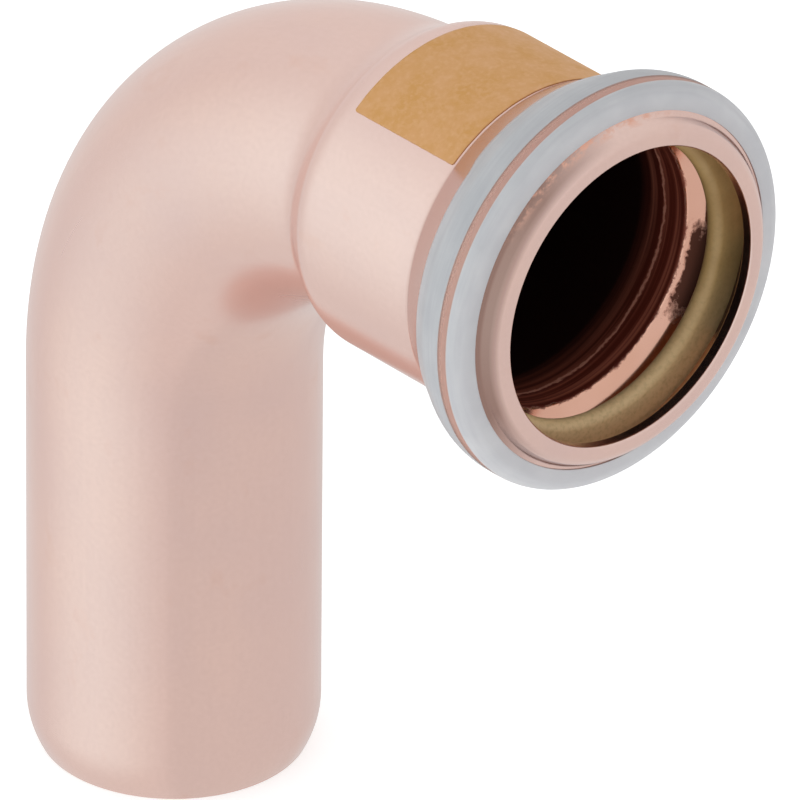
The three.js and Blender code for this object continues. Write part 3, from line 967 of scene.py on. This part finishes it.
film_from = length_to(lambda p: p.x > along_at_corner + FILM_REAR)
film_line = [
    length_to(lambda p, at=at: p.x > along_at_corner + at)
    for at in (FILM_LINE_REAR, FILM_LINE_FRONT)
]
film_to = length_to(
    lambda p: p.x > along_at_corner + BEAD_FACE - 0.5 and p.y < FILM_FRONT_RADIUS
)
outer_face = SKIN_GAP + FILM_THICKNESS
film_section = rounded(
    [
        (film_from, SKIN_GAP, 0),
        (film_from, outer_face, 0.03),
        (film_to, outer_face, 0.03),
        (film_to, SKIN_GAP, 0),
    ],
    spacing=0.12,
    turn_step=math.radians(30),
)

# ---- pieces ----------------------------------------------------------------------------
turned = turned_tree()
body = built(
    "copper_body",
    section_mesh("body section", rounded(body_section), inside_from=LIP_BACK),
    turned,
    {
        "Facets": FACETS,
        "Material": drawn_copper(),
        "Inside Material": burnished_copper(),
        **path_sizes,
    },
)
rubber = moulded_rubber()
seal = built(
    "seal_ring",
    section_mesh("seal section", rounded(seal_section, spacing=0.5)),
    turned,
    {"Facets": FACETS, "Material": rubber, "Inside Material": rubber, **path_sizes},
)
guide = section_mesh("film guide", guide_points, closed=False)
film = built(
    "indicator_film",
    section_mesh("film section", film_section),
    film_tree(),
    {
        "Guide": guide,
        "Facets": FILM_FACETS,
        "Rear Edge": film_from * MM,
        "Edge Waviness": 0.22 * MM,
        "Notch Depth": 0.4 * MM,
        "Notch Angle": math.radians(-38),
        "Material": shrink_film(),
        **path_sizes,
    },
)
bpy.data.objects.remove(guide)
marking = built(
    "printed_marking",
    section_mesh("marking seed", [(0.0, 0.0)], closed=False),
    marking_tree(),
    {
        "Rear": (along_at_corner + MARK_REAR) * MM,
        "Front": (along_at_corner + MARK_FRONT) * MM,
        "Half Angle": math.radians(MARK_HALF_ANGLE),
        "Under Radius": (SOCKET_RADIUS + SKIN_GAP) * MM,
        "Thickness": INK_THICKNESS * MM,
        "Corner Round": MARK_CORNER_ROUND * MM,
        "Edge Waviness": 0.09 * MM,
        "Material": pad_printed_ink(),
        **path_sizes,
    },
)
for piece, node, slot in (
    (body, "elbow_body", "satin_copper"),
    (seal, "sealing_ring", "seal_rubber"),
    (film, "press_indicator", "white_film"),
    (marking, "marking_patch", "ochre_paint"),
):
    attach(piece, "root")
    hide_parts(node)

# ---- studio ----------------------------------------------------------------------------
CAMERA_AZIMUTH = 48.1
CAMERA_ELEVATION = 30.15
CAMERA_ROLL = 0.5
CAMERA_DISTANCE = 1.4234
CAMERA_LENS = 874.5
AIM_RIGHT = 16.47
AIM_DOWN = 26.25

turn_angle, tilt, roll = (
    math.radians(a) for a in (CAMERA_AZIMUTH, CAMERA_ELEVATION, CAMERA_ROLL)
)
right = Vector((math.cos(turn_angle), math.sin(turn_angle), 0.0))
back = Vector(
    (
        math.sin(turn_angle) * math.cos(tilt),
        -math.cos(turn_angle) * math.cos(tilt),
        math.sin(tilt),
    )
)
up = back.cross(right)
rolled_right = right * math.cos(roll) + up * math.sin(roll)
rolled_up = up * math.cos(roll) - right * math.sin(roll)
camera_data = bpy.data.cameras.new("camera")
camera_data.lens = CAMERA_LENS
camera = bpy.data.objects.new("camera", camera_data)
bpy.context.scene.collection.objects.link(camera)
aim = corner + rolled_right * AIM_RIGHT * MM - rolled_up * AIM_DOWN * MM
camera.matrix_world = Matrix.Translation(aim + back * CAMERA_DISTANCE) @ Matrix(
    (rolled_right, rolled_up, back)
).transposed().to_4x4()
bpy.context.scene.camera = camera
bpy.context.scene.view_settings.view_transform = "Standard"

FLOOR_REACH = 3.0  # metres each way from the middle
floor_mesh = bpy.data.meshes.new("floor")
floor_mesh.from_pydata(
    [(x * FLOOR_REACH, y * FLOOR_REACH, 0) for x, y in ((-1, -1), (1, -1), (1, 1), (-1, 1))],
    [],
    [(0, 1, 2, 3)],
)
floor = bpy.data.objects.new("floor", floor_mesh)
bpy.context.scene.collection.objects.link(floor)
floor_mat, tree = new_material("Back-lit acrylic table")
acrylic = add_node(
    tree,
    "ShaderNodeBsdfPrincipled",
    {
        "Base Color": (0.85, 0.85, 0.85, 1),
        "Roughness": 0.8,
        "Emission Color": (1, 1, 1, 1),
        "Emission Strength": 0.5,
    },
)
add_node(tree, "ShaderNodeOutputMaterial", {"Surface": acrylic})
floor_mesh.materials.append(floor_mat)
floor.visible_glossy = False

# The tent is white cloth all round. A large soft light behind its left side, seen from
# the camera, makes a broad glow that ends at the cloth's edge.
TENT_LEVEL = 0.737
TOP_LEVEL = 0.07
GLOW_LEVEL = 0.40
GLOW_EDGE_LEVEL = 0.06
GLOW_AZIMUTH = -108.0
GLOW_START = 0.4  # cosine of the glow's half width
GLOW_FALLOFF = 1.5
EDGE_AZIMUTH = -46.0
EDGE_SOFTNESS = 0.05


def towards(azimuth, elevation=0.0):
    """The unit vector at an azimuth from +X and an elevation, in degrees."""
    level = math.cos(math.radians(elevation))
    return (
        math.cos(math.radians(azimuth)) * level,
        math.sin(math.radians(azimuth)) * level,
        math.sin(math.radians(elevation)),
    )


world = bpy.data.worlds.new("Light tent")
world.use_nodes = True
tree = world.node_tree
tree.nodes.clear()
outward = add_node(tree, "ShaderNodeTexCoord").outputs["Generated"]
facing_glow = add_node(
    tree, VECTOR_MATHS, [outward, towards(GLOW_AZIMUTH)], operation="DOT_PRODUCT"
)
upward = add_node(tree, SPLIT, [outward]).outputs[2]
past_edge = add_node(
    tree, VECTOR_MATHS, [outward, towards(EDGE_AZIMUTH - 90)], operation="DOT_PRODUCT"
)
glow = add_node(tree, RANGE, [facing_glow, GLOW_START, 1.0])
glow = add_node(tree, MATHS, [glow, GLOW_FALLOFF], operation="POWER")
glow = add_node(tree, MATHS, [glow, GLOW_LEVEL], operation="MULTIPLY")
top = add_node(tree, RANGE, [upward, 0.2, 0.7, 0.0, TOP_LEVEL])
glow = add_node(tree, MATHS, [glow, top], operation="ADD")
cloth = add_node(
    tree,
    RANGE,
    [past_edge, -EDGE_SOFTNESS, EDGE_SOFTNESS, TENT_LEVEL, TENT_LEVEL + GLOW_EDGE_LEVEL],
)
tent = add_node(tree, "ShaderNodeBackground", {"Color": "#FFFFFF", "Strength": cloth})
lamp = add_node(tree, "ShaderNodeBackground", {"Color": "#C7F6FF", "Strength": glow})
both = add_node(tree, "ShaderNodeAddShader", [tent, lamp])
plain = add_node(tree, "ShaderNodeBackground", {"Color": "#FFFFFF", "Strength": 1.0})
seen = add_node(tree, "ShaderNodeLightPath").outputs["Is Camera Ray"]
shown = add_node(tree, "ShaderNodeMixShader", [seen, both, plain])
add_node(tree, "ShaderNodeOutputWorld", {"Surface": shown})
bpy.context.scene.world = world
